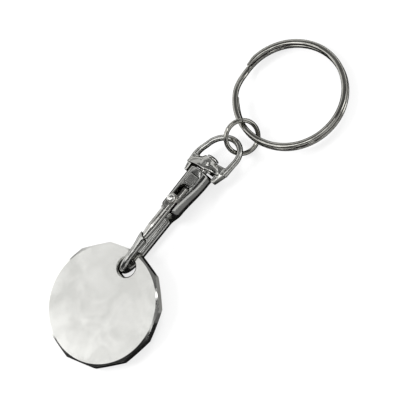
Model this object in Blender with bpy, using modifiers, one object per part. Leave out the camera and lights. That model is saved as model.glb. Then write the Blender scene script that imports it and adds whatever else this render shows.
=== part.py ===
# Trolley coin keyring: a blank token on a bolt snap hook, with a swivel eye, a jump ring and a key ring.
# Lengths are in metres, +X runs from the token to the key ring, +Z is up from the table.

import bpy
import bmesh
import numpy as np
from math import asin, cos, degrees, pi, radians, sin, sqrt, tan
from mathutils import Matrix, Vector

mm = 0.001

# Clearances
slideGap = 0.2 * mm
seatGap = 0.1 * mm
tableGap = 0.05 * mm
overrun = 1.0 * mm
mergeDistance = 0.001 * mm

# Token
coinAcross = 24.5 * mm
coinThickness = 2.0 * mm
coinFaceRadius = 11.5 * mm
coinBevel = 0.35 * mm
coinHoleRadius = 1.9 * mm
coinHoleOffset = 8.6 * mm
coinHoleBevel = 0.25 * mm
coinSides = 12
coinSideways = 0.6 * mm
coinSwing = radians(3.0)
coinSpin = radians(2.5)

# Snap hook, along its own axis from the swivel point
swivelHeight = 2.78 * mm
clipLean = radians(7.0)
collarRadius = 2.5 * mm
collarShoulder = 0.5 * mm
bodyGap = 0.2 * mm
collarLength = 1.8 * mm
bodyLength = 9.2 * mm
bodyHalfWidth = 2.1 * mm
bodyHalfHeight = 2.9 * mm
bodyRise = 0.55 * mm
shoulderLength = 2.6 * mm
spineDrop = 1.75 * mm
spineRadius = 0.95 * mm
bendRadius = 0.78 * mm
bendReach = 24.3 * mm
bendHeight = 0.25 * mm
bendStart = 21.6 * mm
tipBend = 20.2 * mm
tipBendHeight = 2.45 * mm
tipEnd = 16.4 * mm
tipRadius = 0.72 * mm
hornRadius = 1.05 * mm
collarShares = [(0, 0.72), (0.5, 0.93), (1, 1)]
bodyShares = (0.35, 0.7, 1)
shoulderShares = (0.3, 0.6, 0.85, 1)
hornShares = (0.4, 0.7, 1)
bendSteps = 8
tipBendSteps = 9

# Sliding bolt
rodHeight = 2.9 * mm
rodRadius = 0.9 * mm
rodEndRadius = 0.62 * mm
rodReach = 17.35 * mm
rodTaperStart = 14.0 * mm
rodTaperShare = 1.12
rodTipShares = (0.45, 0.8, 0.97)
guideRoundShare = 0.3
boltFront = 10.3 * mm
blockLength = 2.3 * mm
blockHalfWidth = 0.85 * mm
blockFloor = 0.2 * mm
padLength = 3.5 * mm
padHalfWidth = 0.95 * mm
padBottom = 3.3 * mm
padThickness = 0.45 * mm
padBevel = 0.15 * mm
guideHeight = 1.0 * mm
guideRadius = 0.8 * mm
guideEnd = 4.6 * mm
springBoreRadius = 0.6 * mm
springBoreLength = 4.3 * mm

# Slot and bore in the body
slotEnd = 4.0 * mm
boreEnd = 1.3 * mm
boltBoreRadius = guideRadius + slideGap
boltTravel = guideEnd - boreEnd - seatGap

# Thumb knob
knobRadius = 0.85 * mm
knobHeight = 1.3 * mm
knobNeckRadius = 0.55 * mm
knobStemRadius = 0.4 * mm
knobStemLength = 0.5 * mm
knobPlace = 7.9 * mm
knobDomeShare = 0.6
knobSideShare = 0.35
knobDomeSteps = 6

# Spring
springRadius = 0.4 * mm
springWireRadius = 0.1 * mm
springTurns = 9
springPointsPerTurn = 10

# Spring cover
coverStart = 1.65 * mm
coverLength = 2.1 * mm
coverHalfWidth = 1.0 * mm
coverThickness = 0.3 * mm
coverSeat = 2.1 * mm
coverLedge = 0.3 * mm

# Swivel rivet
rivetRadius = 0.8 * mm
rivetDepth = 0.75 * mm
rivetHeadRadius = 1.3 * mm
rivetHeadHeight = 0.55 * mm
rivetHeadShares = [(0, 0.92), (0.25, 1), (0.6, 0.86), (0.9, 0.55), (1, 0.25)]

# Swivel eye
eyeRoll = radians(0.0)
eyeBaseStart = 0.3 * mm
eyeBaseYaw = radians(10.0)
eyeBaseDepth = 1.6 * mm
eyeBaseHalfHeight = 0.95 * mm
eyeBaseBevel = 0.35 * mm
eyeHalfWidth = 3.9 * mm
eyeArchHalfWidth = 3.55 * mm
eyeArchStart = 4.4 * mm
eyeReach = 8.3 * mm
eyeArchShift = 1.2 * mm
eyeWireRadius = 0.6 * mm
eyeBossRadius = 2.1 * mm
eyeBossTopRadius = 1.6 * mm
eyeBossHeight = 0.8 * mm
eyeBossStand = 0.1 * mm
eyeLegSteps = 6
eyeArchSteps = 20
eyeFootShare = 0.45

# Jump ring
jumpRadius = 3.25 * mm
jumpWireRadius = 0.45 * mm
jumpCut = 0.12 * mm
jumpAhead = 1.39 * mm
jumpSideways = 0.71 * mm
jumpRise = 0.13 * mm
jumpRoll = radians(47.5)
jumpCutAngle = radians(40.0)
jumpPoints = 48

# Key ring
keyRadius = 10.78 * mm
keyHalfWidth = 0.72 * mm
keyHalfThickness = 0.46 * mm
keyLayerGap = 0.3 * mm
keyAhead = 1.31 * mm
keySideways = 1.85 * mm
keyTilt = radians(4.25)
keyRampAngle = radians(110.0)
keyRampHalfTurn = radians(32.0)
keyPointsPerTurn = 24


def clearScene():
    for item in list(bpy.data.objects):
        bpy.data.objects.remove(item, do_unlink=True)


def makeCollection(name):
    collection = bpy.data.collections.new(name)
    bpy.context.scene.collection.children.link(collection)
    return collection


def makeMaterial(name, colour, roughness, metallic):
    material = bpy.data.materials.new(name)
    material.use_nodes = True
    shader = material.node_tree.nodes["Principled BSDF"]
    shader.inputs["Base Color"].default_value = (*colour, 1)
    shader.inputs["Roughness"].default_value = roughness
    shader.inputs["Metallic"].default_value = metallic
    return material


def makeEmpty(name, parent, location, rotation=None):
    empty = bpy.data.objects.new(name, None)
    partsGroup.objects.link(empty)
    empty.parent = parent
    empty.matrix_local = Matrix.Translation(location) @ (rotation or Matrix.Identity(4))
    return empty


def linkMesh(name, mesh, parent, group, location=(0, 0, 0)):
    item = bpy.data.objects.new(name, mesh)
    group.objects.link(item)
    item.parent = parent
    item.location = location
    return item


def asPiece(item, material, sharpAngle=radians(35)):
    item.data.materials.append(material)
    item.data.shade_smooth()
    item.data.set_sharp_from_angle(angle=sharpAngle)
    return item


def asCutter(item):
    item.hide_render = True
    item.display_type = "WIRE"
    return item


def meshFrom(name, build):
    bm = bmesh.new()
    build(bm)
    bmesh.ops.recalc_face_normals(bm, faces=bm.faces)
    mesh = bpy.data.meshes.new(name)
    bm.to_mesh(mesh)
    bm.free()
    return mesh


def boxMesh(name, low, high, bevel=0, bevelSegments=2):
    def build(bm):
        size = Vector(high) - Vector(low)
        middle = (Vector(high) + Vector(low)) / 2
        bmesh.ops.create_cube(bm, size=1, matrix=Matrix.Translation(middle) @ Matrix.Diagonal((*size, 1)))
        if bevel:
            bmesh.ops.bevel(bm, geom=bm.edges[:], offset=bevel, segments=bevelSegments, affect="EDGES",
                            profile=0.5)
    return meshFrom(name, build)


def coneMesh(name, start, end, startRadius, endRadius, sides):
    # A cone or cylinder whose axis runs from start to end
    def build(bm):
        axis = Vector(end) - Vector(start)
        turn = axis.to_track_quat("Z", "Y").to_matrix().to_4x4()
        place = Matrix.Translation((Vector(start) + Vector(end)) / 2) @ turn
        bmesh.ops.create_cone(bm, cap_ends=True, segments=sides, radius1=startRadius, radius2=endRadius,
                              depth=axis.length, matrix=place)
    return meshFrom(name, build)


def turnedPiece(name, profile, parent, group, steps, location=(0, 0, 0)):
    # The profile runs from top to bottom at +X and turns about the object's own Z axis
    mesh = bpy.data.meshes.new(name)
    points = [(radius, 0, height) for radius, height in profile]
    mesh.from_pydata(points, [(k, k + 1) for k in range(len(points) - 1)], [])
    item = linkMesh(name, mesh, parent, group, location)
    screw = item.modifiers.new("Turn", "SCREW")
    screw.steps = steps
    screw.render_steps = steps
    screw.use_merge_vertices = True
    screw.merge_threshold = mergeDistance
    return item


def boolean(item, operation, other):
    modifier = item.modifiers.new(operation.title(), "BOOLEAN")
    modifier.operation = operation
    modifier.object = other
    modifier.solver = "EXACT"
    return modifier


def sectionRing(centre, side, up, halfWidth, halfHeight, sides):
    turns = [2 * pi * k / sides for k in range(sides)]
    return [centre + side * (halfWidth * cos(turn)) + up * (halfHeight * sin(turn)) for turn in turns]


def loftMesh(name, rings):
    # A closed skin through rings of points, with a flat face at each end
    def build(bm):
        loops = [[bm.verts.new(point) for point in ring] for ring in rings]
        sides = len(loops[0])
        for first, second in zip(loops, loops[1:]):
            for k in range(sides):
                after = (k + 1) % sides
                bm.faces.new((first[k], first[after], second[after], second[k]))
        bm.faces.new(loops[0])
        bm.faces.new(loops[-1])
    return meshFrom(name, build)


def wireCurve(name, points, radius, resolution, closed, parent, group):
    curve = bpy.data.curves.new(name, "CURVE")
    curve.dimensions = "3D"
    curve.bevel_depth = radius
    curve.bevel_resolution = resolution
    curve.use_fill_caps = not closed
    spline = curve.splines.new("POLY")
    spline.points.add(len(points) - 1)
    for target, point in zip(spline.points, points):
        target.co = (*point, 1)
    spline.use_cyclic_u = closed
    item = bpy.data.objects.new(name, curve)
    group.objects.link(item)
    item.parent = parent
    return item


def curveToMesh(item, group):
    # The evaluated tube as a mesh object in the curve's place, with its end caps welded on
    bpy.context.view_layer.update()
    evaluated = item.evaluated_get(bpy.context.evaluated_depsgraph_get())
    mesh = bpy.data.meshes.new_from_object(evaluated)
    bm = bmesh.new()
    bm.from_mesh(mesh)
    bmesh.ops.remove_doubles(bm, verts=bm.verts, dist=mergeDistance)
    bmesh.ops.recalc_face_normals(bm, faces=bm.faces)
    bm.to_mesh(mesh)
    bm.free()
    name, parent, place = item.name, item.parent, item.matrix_local.copy()
    curve = item.data
    bpy.data.objects.remove(item)
    bpy.data.curves.remove(curve)
    piece = linkMesh(name, mesh, parent, group)
    piece.matrix_local = place
    return piece


def leastGap(rings, apart):
    # The least distance between points of a wound tube whose places along it lie at least apart rings apart
    points = np.array([[tuple(point) for point in ring] for ring in rings])
    least = float("inf")
    for k in range(len(rings) - apart):
        later = points[k + apart:].reshape(-1, 3)
        gaps = np.linalg.norm(points[k][:, None, :] - later[None, :, :], axis=2)
        least = min(least, float(gaps.min()))
    return least


# Token

def buildCoin(parent):
    # The hole's centre lies on the frame's origin, and the token's middle lies beyond it toward -X
    centre = (-coinHoleOffset * cos(coinSwing), -coinHoleOffset * sin(coinSwing), 0)
    half = coinThickness / 2
    chamferRadius = coinFaceRadius + (coinAcross / 2 - coinFaceRadius) / 2
    prism = coneMesh("coin_token", (0, 0, -half), (0, 0, half), coinAcross / 2, coinAcross / 2, coinSides)
    coin = linkMesh("coin_token", prism, parent, partsGroup, centre)
    coin.rotation_euler = (0, 0, coinSpin)
    rim = coinAcross / 2 + overrun
    slope = coinBevel / (chamferRadius - coinFaceRadius + coinBevel)
    profile = [(0, half), (coinFaceRadius, half), (rim, half - (rim - coinFaceRadius) * slope),
               (rim, (rim - coinFaceRadius) * slope - half), (coinFaceRadius, -half), (0, -half)]
    lens = asCutter(turnedPiece("coin_lens", profile, parent, cuttersGroup, 48, centre))
    boolean(coin, "INTERSECT", lens)
    wide = coinHoleRadius + coinHoleBevel
    deep = half + overrun
    holeProfile = [(0, deep), (wide + overrun, deep), (coinHoleRadius, half - coinHoleBevel),
                   (coinHoleRadius, coinHoleBevel - half), (wide + overrun, -deep), (0, -deep)]
    hole = asCutter(turnedPiece("coin_hole", holeProfile, parent, cuttersGroup, 32))
    boolean(coin, "DIFFERENCE", hole)
    return asPiece(coin, nickelPale)


# Snap hook body

def hookStations():
    # Centre x, centre height, direction in the hook's plane, half width and half height of each section
    stations = []
    for lengthShare, radiusShare in collarShares:
        stations.append((-bodyGap - collarShoulder * lengthShare, 0, pi, collarRadius * radiusShare,
                         collarRadius * radiusShare))
    collarEnd = -bodyGap - collarLength
    stations.append((collarEnd, 0, pi, collarRadius, collarRadius))
    for share in bodyShares:
        ease = share * share * (3 - 2 * share)
        stations.append((collarEnd - (bodyLength - collarLength) * share, bodyRise * ease, pi,
                         collarRadius + (bodyHalfWidth - collarRadius) * ease,
                         collarRadius + (bodyHalfHeight - collarRadius) * ease))
    bodyEnd = collarEnd - (bodyLength - collarLength)
    for share in shoulderShares:
        ease = share * share * (3 - 2 * share)
        top = bodyRise + bodyHalfHeight + (spineRadius - spineDrop - bodyRise - bodyHalfHeight) * ease
        bottom = bodyRise - bodyHalfHeight + (-spineRadius - spineDrop - bodyRise + bodyHalfHeight) * ease
        stations.append((bodyEnd - shoulderLength * share, (top + bottom) / 2, pi,
                         bodyHalfWidth + (spineRadius - bodyHalfWidth) * ease, (top - bottom) / 2))
    lowReach = bendReach - bendStart
    lowRise = bendHeight + spineDrop
    for k in range(bendSteps + 1):
        turn = pi / 2 * k / bendSteps
        x = -bendStart - lowReach * sin(turn)
        height = bendHeight - lowRise * cos(turn)
        radius = spineRadius + (bendRadius - spineRadius) * k / bendSteps
        stations.append((x, height, pi - turn, radius, radius))
    highReach = bendReach - tipBend
    highRise = tipBendHeight - bendHeight
    for k in range(1, tipBendSteps + 1):
        turn = pi / 2 * k / tipBendSteps
        x = -tipBend - highReach * cos(turn)
        height = bendHeight + highRise * sin(turn)
        radius = bendRadius + (tipRadius - bendRadius) * k / tipBendSteps
        stations.append((x, height, pi / 2 - turn, radius, radius))
    for share in hornShares:
        radius = tipRadius + (hornRadius - tipRadius) * share
        stations.append((-tipBend + (tipBend - tipEnd) * share,
                         tipBendHeight + (rodHeight - tipBendHeight) * share, 0, radius, radius))
    return stations


def buildHook(parent):
    rings = []
    for x, height, direction, halfWidth, halfHeight in hookStations():
        up = Vector((-sin(direction), 0, cos(direction)))
        rings.append(sectionRing(Vector((x, 0, height)), Vector((0, 1, 0)), up, halfWidth, halfHeight, 24))
    hook = linkMesh("hook_body", loftMesh("hook_body", rings), parent, partsGroup)
    slotHalf = blockHalfWidth + slideGap
    slotRear = -slotEnd - slotHalf
    slotFront = -bodyLength - bodyGap - shoulderLength - overrun
    slotTop = bodyRise + bodyHalfHeight + overrun
    slot = linkMesh("slot_cut", boxMesh("slot_cut", (slotFront, -slotHalf, 0), (slotRear, slotHalf, slotTop)),
                    parent, cuttersGroup)
    slotRound = linkMesh("slot_round_cut", coneMesh("slot_round_cut", (slotRear, 0, 0), (slotRear, 0, slotTop),
                         slotHalf, slotHalf, 24), parent, cuttersGroup)
    boolean(slot, "UNION", slotRound)
    bore = linkMesh("bore_cut", coneMesh("bore_cut", (slotRear, 0, guideHeight), (-boreEnd, 0, guideHeight),
                    boltBoreRadius, boltBoreRadius, 24), parent, cuttersGroup)
    coverRear = -coverStart - coverLength
    recess = linkMesh("cover_recess", boxMesh("cover_recess",
                      (coverRear - seatGap, -coverHalfWidth - seatGap, coverSeat),
                      (-coverStart + seatGap, coverHalfWidth + seatGap, slotTop)), parent, cuttersGroup)
    window = linkMesh("spring_window", boxMesh("spring_window",
                      (coverRear + coverLedge, coverLedge - coverHalfWidth, guideHeight),
                      (-coverStart - coverLedge, coverHalfWidth - coverLedge, slotTop)), parent, cuttersGroup)
    rivetHole = linkMesh("rivet_hole", coneMesh("rivet_hole", (-bodyGap - rivetDepth - seatGap, 0, 0),
                         (overrun, 0, 0), rivetRadius + seatGap, rivetRadius + seatGap, 24), parent, cuttersGroup)
    nestRadius = rodEndRadius + slideGap
    nest = linkMesh("tip_nest", coneMesh("tip_nest", (-rodReach - slideGap, 0, rodHeight),
                    (-tipEnd + overrun, 0, rodHeight), nestRadius, nestRadius + slideGap, 24), parent,
                    cuttersGroup)
    for cutter in (slot, bore, recess, window, rivetHole, nest):
        asCutter(cutter)
        boolean(hook, "DIFFERENCE", cutter)
    asCutter(slotRound)
    return asPiece(hook, nickelDark)


# Sliding bolt, with the rear of its guide in the body's bore

def buildBolt(parent):
    rodStations = [(-boltFront + blockLength / 2, rodRadius), (-rodTaperStart, rodRadius)]
    taperEnd = rodReach - rodEndRadius
    rodStations.append((-taperEnd, rodEndRadius * rodTaperShare))
    for share in rodTipShares:
        rodStations.append((-taperEnd - rodEndRadius * share, rodEndRadius * sqrt(1 - share * share)))
    side = Vector((0, 1, 0))
    up = Vector((0, 0, 1))
    rings = [sectionRing(Vector((x, 0, rodHeight)), side, up, radius, radius, 20) for x, radius in rodStations]
    bolt = linkMesh("slide_bolt", loftMesh("slide_bolt", rings), parent, partsGroup)
    block = linkMesh("bolt_block", boxMesh("bolt_block", (-boltFront, -blockHalfWidth, blockFloor),
                     (-boltFront + blockLength, blockHalfWidth, padBottom + padThickness / 2)), parent,
                     cuttersGroup)
    pad = linkMesh("bolt_pad", boxMesh("bolt_pad", (-boltFront - seatGap, -padHalfWidth, padBottom),
                   (-boltFront + padLength, padHalfWidth, padBottom + padThickness), padBevel, 1), parent,
                   cuttersGroup)
    guideRings = []
    roundLength = guideRadius / 2
    guideStations = [(-boltFront + blockLength / 2, 1), (-guideEnd - roundLength, 1)]
    guideStations += [(-guideEnd - roundLength * (1 - share), sqrt(1 - share * share * guideRoundShare))
                      for share in (0.5, 1)]
    for x, share in guideStations:
        radius = guideRadius * share
        guideRings.append(sectionRing(Vector((x, 0, guideHeight)), side, up, radius, radius, 20))
    guide = linkMesh("bolt_guide", loftMesh("bolt_guide", guideRings), parent, cuttersGroup)
    for extra in (block, pad, guide):
        asCutter(extra)
        boolean(bolt, "UNION", extra)
    springBore = linkMesh("spring_bore", coneMesh("spring_bore", (-guideEnd - springBoreLength, 0, guideHeight),
                          (-guideEnd + overrun, 0, guideHeight), springBoreRadius, springBoreRadius, 20), parent,
                          cuttersGroup)
    padTop = padBottom + padThickness
    stemHole = linkMesh("stem_hole", coneMesh("stem_hole",
                        (-knobPlace, 0, padTop - knobStemLength - seatGap), (-knobPlace, 0, padTop + overrun),
                        knobStemRadius + seatGap, knobStemRadius + seatGap, 20), parent, cuttersGroup)
    for cutter in (springBore, stemHole):
        asCutter(cutter)
        boolean(bolt, "DIFFERENCE", cutter)
    return asPiece(bolt, nickelBright)


def buildKnob(parent):
    base = padBottom + padThickness + seatGap
    profile = [(0, knobHeight)]
    for k in range(1, knobDomeSteps + 1):
        turn = pi / 2 * k / knobDomeSteps
        profile.append((knobRadius * sin(turn), knobHeight - knobRadius * knobDomeShare * (1 - cos(turn))))
    profile += [(knobRadius, knobHeight * knobSideShare), (knobNeckRadius, 0), (knobStemRadius, 0),
                (knobStemRadius, -knobStemLength), (0, -knobStemLength)]
    knob = turnedPiece("thumb_knob", profile, parent, partsGroup, 24, (-knobPlace, 0, base))
    return asPiece(knob, nickelBright)


def buildSpring(parent):
    front = -guideEnd - springBoreLength + springWireRadius + seatGap
    rear = -boreEnd - springWireRadius - seatGap
    count = springTurns * springPointsPerTurn + 1
    points = []
    rings = []
    for k in range(count):
        share = k / (count - 1)
        turn = 2 * pi * springTurns * share
        outward = Vector((0, cos(turn), sin(turn)))
        centre = Vector((front + (rear - front) * share, 0, guideHeight)) + outward * springRadius
        points.append(centre)
        rings.append(sectionRing(centre, outward, Vector((1, 0, 0)), springWireRadius, springWireRadius, 8))
    print("bolt_spring least gap to itself (mm):", round(leastGap(rings, springPointsPerTurn // 2) / mm, 3))
    spring = curveToMesh(wireCurve("bolt_spring", points, springWireRadius, 1, False, parent, partsGroup),
                         partsGroup)
    return asPiece(spring, springSteel)


def buildCover(parent):
    low = (-coverStart - coverLength, -coverHalfWidth, coverSeat + seatGap)
    high = (-coverStart, coverHalfWidth, coverSeat + seatGap + coverThickness)
    cover = linkMesh("spring_cover", boxMesh("spring_cover", low, high), parent, partsGroup)
    return asPiece(cover, nickelDark)


# Swivel rivet and eye, about the clip's axis

def buildRivet(parent):
    headBase = eyeBaseStart + eyeBaseDepth + eyeBossHeight + seatGap
    start = -bodyGap - rivetDepth
    shank = coneMesh("swivel_rivet", (start, 0, 0), (headBase + rivetHeadHeight / 2, 0, 0), rivetRadius,
                     rivetRadius, 24)
    rivet = linkMesh("swivel_rivet", shank, parent, partsGroup)
    rings = []
    for xShare, radiusShare in rivetHeadShares:
        rings.append(sectionRing(Vector((headBase + rivetHeadHeight * xShare, 0, 0)), Vector((0, 1, 0)),
                                 Vector((0, 0, 1)), rivetHeadRadius * radiusShare, rivetHeadRadius * radiusShare,
                                 24))
    head = asCutter(linkMesh("rivet_head", loftMesh("rivet_head", rings), parent, cuttersGroup))
    boolean(rivet, "UNION", head)
    return asPiece(rivet, nickelBright)


def eyePath():
    # The wire's points with its radius share at each, thicker toward its two feet in the base
    legStart = eyeBaseStart + eyeBaseDepth / 2
    slant = eyeArchShift / (eyeReach - legStart)
    points = []
    for side in (1, -1):
        footX = legStart - side * eyeHalfWidth * tan(eyeBaseYaw)
        leg = []
        for k in range(eyeLegSteps):
            share = k / eyeLegSteps
            leg.append((footX + (eyeArchStart - footX) * share,
                        side * (eyeHalfWidth + (eyeArchHalfWidth - eyeHalfWidth) * share),
                        1 + eyeFootShare * (1 - share) ** 2))
        points.append(leg)
    arch = []
    for k in range(eyeArchSteps + 1):
        turn = pi * k / eyeArchSteps
        arch.append((eyeArchStart + (eyeReach - eyeArchStart) * sin(turn), eyeArchHalfWidth * cos(turn), 1))
    path = points[0] + arch + points[1][::-1]
    return [(Vector((x, y - slant * max(x - legStart, 0), 0)), share) for x, y, share in path]


def buildEye(parent):
    path = eyePath()
    wire = wireCurve("swivel_eye", [point for point, share in path], eyeWireRadius, 3, False, parent, partsGroup)
    for target, (point, share) in zip(wire.data.splines[0].points, path):
        target.radius = share
    eye = curveToMesh(wire, partsGroup)
    halfWidth = eyeHalfWidth + eyeWireRadius
    base = linkMesh("eye_base", boxMesh("eye_base", (eyeBaseStart, -halfWidth, -eyeBaseHalfHeight),
                    (eyeBaseStart + eyeBaseDepth, halfWidth, eyeBaseHalfHeight), eyeBaseBevel), parent,
                    cuttersGroup)
    base.rotation_euler = (0, 0, eyeBaseYaw)
    bossEnd = eyeBaseStart + eyeBaseDepth + eyeBossHeight
    bossRings = []
    for x, radius in ((eyeBaseStart - eyeBossStand, eyeBossRadius), (eyeBaseStart + eyeBaseDepth, eyeBossRadius),
                      (bossEnd, eyeBossTopRadius)):
        bossRings.append(sectionRing(Vector((x, 0, 0)), Vector((0, 1, 0)), Vector((0, 0, 1)), radius, radius, 24))
    boss = linkMesh("eye_boss", loftMesh("eye_boss", bossRings), parent, cuttersGroup)
    for extra in (base, boss):
        asCutter(extra)
        boolean(eye, "UNION", extra)
    hole = asCutter(linkMesh("eye_hole", coneMesh("eye_hole", (-overrun, 0, 0), (bossEnd + overrun, 0, 0),
                    rivetRadius + slideGap, rivetRadius + slideGap, 24), parent, cuttersGroup))
    boolean(eye, "DIFFERENCE", hole)
    return asPiece(eye, nickelMid)


# Rings

def buildJumpRing(parent, centre):
    half = asin(jumpCut / 2 / jumpRadius)
    points = []
    for k in range(jumpPoints):
        turn = jumpCutAngle + half + (2 * pi - 2 * half) * k / (jumpPoints - 1)
        points.append(Vector((jumpRadius * cos(turn), jumpRadius * sin(turn), 0)) + centre)
    ring = curveToMesh(wireCurve("jump_ring", points, jumpWireRadius, 2, False, parent, partsGroup), partsGroup)
    return asPiece(ring, nickelBright, radians(50))


def buildSplitRing(parent, centre):
    # Two flat turns of wire, with a ramp from the lower turn to the upper one
    layer = 2 * keyHalfThickness + keyLayerGap
    start = keyRampHalfTurn
    end = 4 * pi - keyRampHalfTurn
    count = round((end - start) / (2 * pi) * keyPointsPerTurn) + 1
    rings = []
    for k in range(count):
        turn = start + (end - start) * k / (count - 1)
        share = min(max((turn - (2 * pi - keyRampHalfTurn)) / (2 * keyRampHalfTurn), 0), 1)
        height = layer * (share * share * (3 - 2 * share) - 0.5)
        angle = turn + keyRampAngle
        outward = Vector((cos(angle), sin(angle), 0))
        rings.append(sectionRing(centre + outward * keyRadius + Vector((0, 0, height)), outward,
                                 Vector((0, 0, 1)), keyHalfWidth, keyHalfThickness, 12))
    print("split_ring least gap to itself (mm):", round(leastGap(rings, keyPointsPerTurn // 2) / mm, 3))
    ring = linkMesh("split_ring", loftMesh("split_ring", rings), parent, partsGroup)
    return asPiece(ring, nickelMid, radians(60))


def evaluatedBounds(group):
    bpy.context.view_layer.update()
    depsgraph = bpy.context.evaluated_depsgraph_get()
    low = Vector((float("inf"),) * 3)
    high = -low
    for item in group.objects:
        if item.type != "MESH":
            continue
        evaluated = item.evaluated_get(depsgraph)
        for vertex in evaluated.data.vertices:
            point = evaluated.matrix_world @ vertex.co
            low = Vector(map(min, low, point))
            high = Vector(map(max, high, point))
    return low, high


clearScene()
partsGroup = makeCollection("Trolley coin keyring")
cuttersGroup = makeCollection("Cutters")
nickelPale = makeMaterial("nickel_pale", (0.78, 0.77, 0.75), 0.22, 1)
nickelBright = makeMaterial("nickel_bright", (0.82, 0.82, 0.8), 0.1, 1)
nickelMid = makeMaterial("nickel_mid", (0.68, 0.68, 0.66), 0.14, 1)
nickelDark = makeMaterial("nickel_dark", (0.5, 0.5, 0.48), 0.16, 1)
springSteel = makeMaterial("spring_steel", (0.45, 0.45, 0.46), 0.3, 1)

root = makeEmpty("keyring_frame", None, Vector((0, 0, 0)))
lean = Matrix.Rotation(clipLean, 4, "X")
clipFrame = makeEmpty("clip_frame", root, Vector((0, 0, swivelHeight)), lean)
boltFrame = makeEmpty("bolt_frame", clipFrame, Vector((0, 0, 0)))
buildHook(clipFrame)
buildBolt(boltFrame)
buildKnob(boltFrame)
buildSpring(clipFrame)
buildCover(clipFrame)
buildRivet(clipFrame)

# The eye turns about the clip's axis
eyeTurn = Matrix.Rotation(eyeRoll, 4, "X")
eyeFrame = makeEmpty("eye_frame", root, Vector((0, 0, swivelHeight)), eyeTurn)
buildEye(eyeFrame)

# The jump ring swings on the eye's arch, and its frame lies on the arch's wire
jumpCentre = Vector((eyeReach + jumpAhead, -eyeArchShift - jumpSideways, swivelHeight + jumpRise))
archWire = eyeTurn @ Vector((eyeReach, -eyeArchShift, 0)) + Vector((0, 0, swivelHeight))
jumpTurn = Matrix.Rotation(jumpRoll, 4, "X")
jumpFrame = makeEmpty("jump_frame", root, archWire, jumpTurn)
buildJumpRing(jumpFrame, jumpTurn.inverted() @ (jumpCentre - archWire))

# The key ring flaps about its own wire where the jump ring goes round it
keyLift = (keyRadius + keyHalfWidth) * sin(keyTilt) + (2 * keyHalfThickness + keyLayerGap / 2) * cos(keyTilt)
keyCentre = Vector((jumpCentre.x + keyAhead + keyRadius, jumpCentre.y - keySideways, keyLift + tableGap))
keyTurn = Matrix.Rotation(keyTilt, 4, "Y")
keyWire = keyCentre + keyTurn @ Vector((-keyRadius, 0, 0))
keyFrame = makeEmpty("key_frame", root, keyWire, keyTurn)
buildSplitRing(keyFrame, keyTurn.inverted() @ (keyCentre - keyWire))

# The token lies on the hook's spine, tilted until its far edge meets the table
spineTop = swivelHeight - (spineDrop * cos(clipLean)) + spineRadius
holeSlack = coinHoleRadius - bendRadius - slideGap / 2
holeX = -bendReach + sqrt(holeSlack ** 2 - coinSideways ** 2)
holeY = -bendHeight * sin(clipLean) - coinSideways
coinSpan = coinHoleOffset * cos(coinSwing) + coinAcross / 2
coinTilt = asin((spineTop + slideGap) / (coinSpan + coinHoleRadius))
coinTurn = Matrix.Rotation(-coinTilt, 4, "Y")
coinLift = coinThickness / 2 * cos(coinTilt) + coinSpan * sin(coinTilt) + tableGap
coinFrame = makeEmpty("coin_frame", root, Vector((holeX, holeY, coinLift)), coinTurn)
buildCoin(coinFrame)

low, high = evaluatedBounds(partsGroup)
root.location = Vector((-(low.x + high.x) / 2, -(low.y + high.y) / 2, -low.z))
bpy.context.view_layer.update()
print("bolt travel (mm):", round(boltTravel / mm, 2), " coin tilt (deg):", round(degrees(coinTilt), 3))
print("size (mm):", [round(value / mm, 2) for value in high - low])
for frame in (clipFrame, eyeFrame, jumpFrame, keyFrame, coinFrame):
    place = [round(value, 6) for value in frame.matrix_world.translation]
    print(frame.name, "place (m):", place)
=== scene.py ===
from math import asin, atan2, cos, pi, radians, sin, tan

import bpy
from mathutils import Matrix, Vector


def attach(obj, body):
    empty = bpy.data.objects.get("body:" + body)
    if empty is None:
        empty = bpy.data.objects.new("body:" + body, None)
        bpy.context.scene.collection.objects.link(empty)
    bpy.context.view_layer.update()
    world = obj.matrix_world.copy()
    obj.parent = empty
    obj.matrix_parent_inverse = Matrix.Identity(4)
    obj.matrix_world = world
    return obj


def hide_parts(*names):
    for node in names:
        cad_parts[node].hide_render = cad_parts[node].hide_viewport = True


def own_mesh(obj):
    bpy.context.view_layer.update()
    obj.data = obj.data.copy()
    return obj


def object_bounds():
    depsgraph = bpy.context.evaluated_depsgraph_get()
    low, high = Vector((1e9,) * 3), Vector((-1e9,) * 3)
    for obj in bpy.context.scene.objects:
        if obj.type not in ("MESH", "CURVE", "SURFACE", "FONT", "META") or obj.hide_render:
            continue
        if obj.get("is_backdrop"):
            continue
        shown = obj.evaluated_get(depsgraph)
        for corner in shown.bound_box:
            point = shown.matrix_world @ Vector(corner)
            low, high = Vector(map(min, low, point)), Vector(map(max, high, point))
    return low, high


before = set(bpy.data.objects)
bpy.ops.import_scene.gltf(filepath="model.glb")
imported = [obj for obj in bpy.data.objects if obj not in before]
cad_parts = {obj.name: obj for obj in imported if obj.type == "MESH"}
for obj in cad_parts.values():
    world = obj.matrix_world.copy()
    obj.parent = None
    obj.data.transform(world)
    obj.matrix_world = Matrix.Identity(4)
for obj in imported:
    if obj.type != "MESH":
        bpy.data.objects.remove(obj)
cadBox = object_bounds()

mm = 0.001
overrun = 1    # how far a cutter stands out past what it cuts, in millimetres
squareAngle = 60    # in degrees; only edges bent more than this are rounded, such as a block's
scene = bpy.context.scene
print("frame loaded:", len(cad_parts), "CAD nodes")


# Where the parts sit, the same places as in the CAD

places = {
    "clip": Vector((5.496, 2.037, 2.716)) * mm,     # swivel point
    "clipLean": radians(7),
    "jumpRoll": radians(47.5),
    "keyTilt": radians(4.25),
    "tokenHole": Vector((-17.979, 1.407, 2.991)) * mm,
    "tokenTilt": radians(-5.535),
}


# Camera, at the photograph's angle

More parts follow.
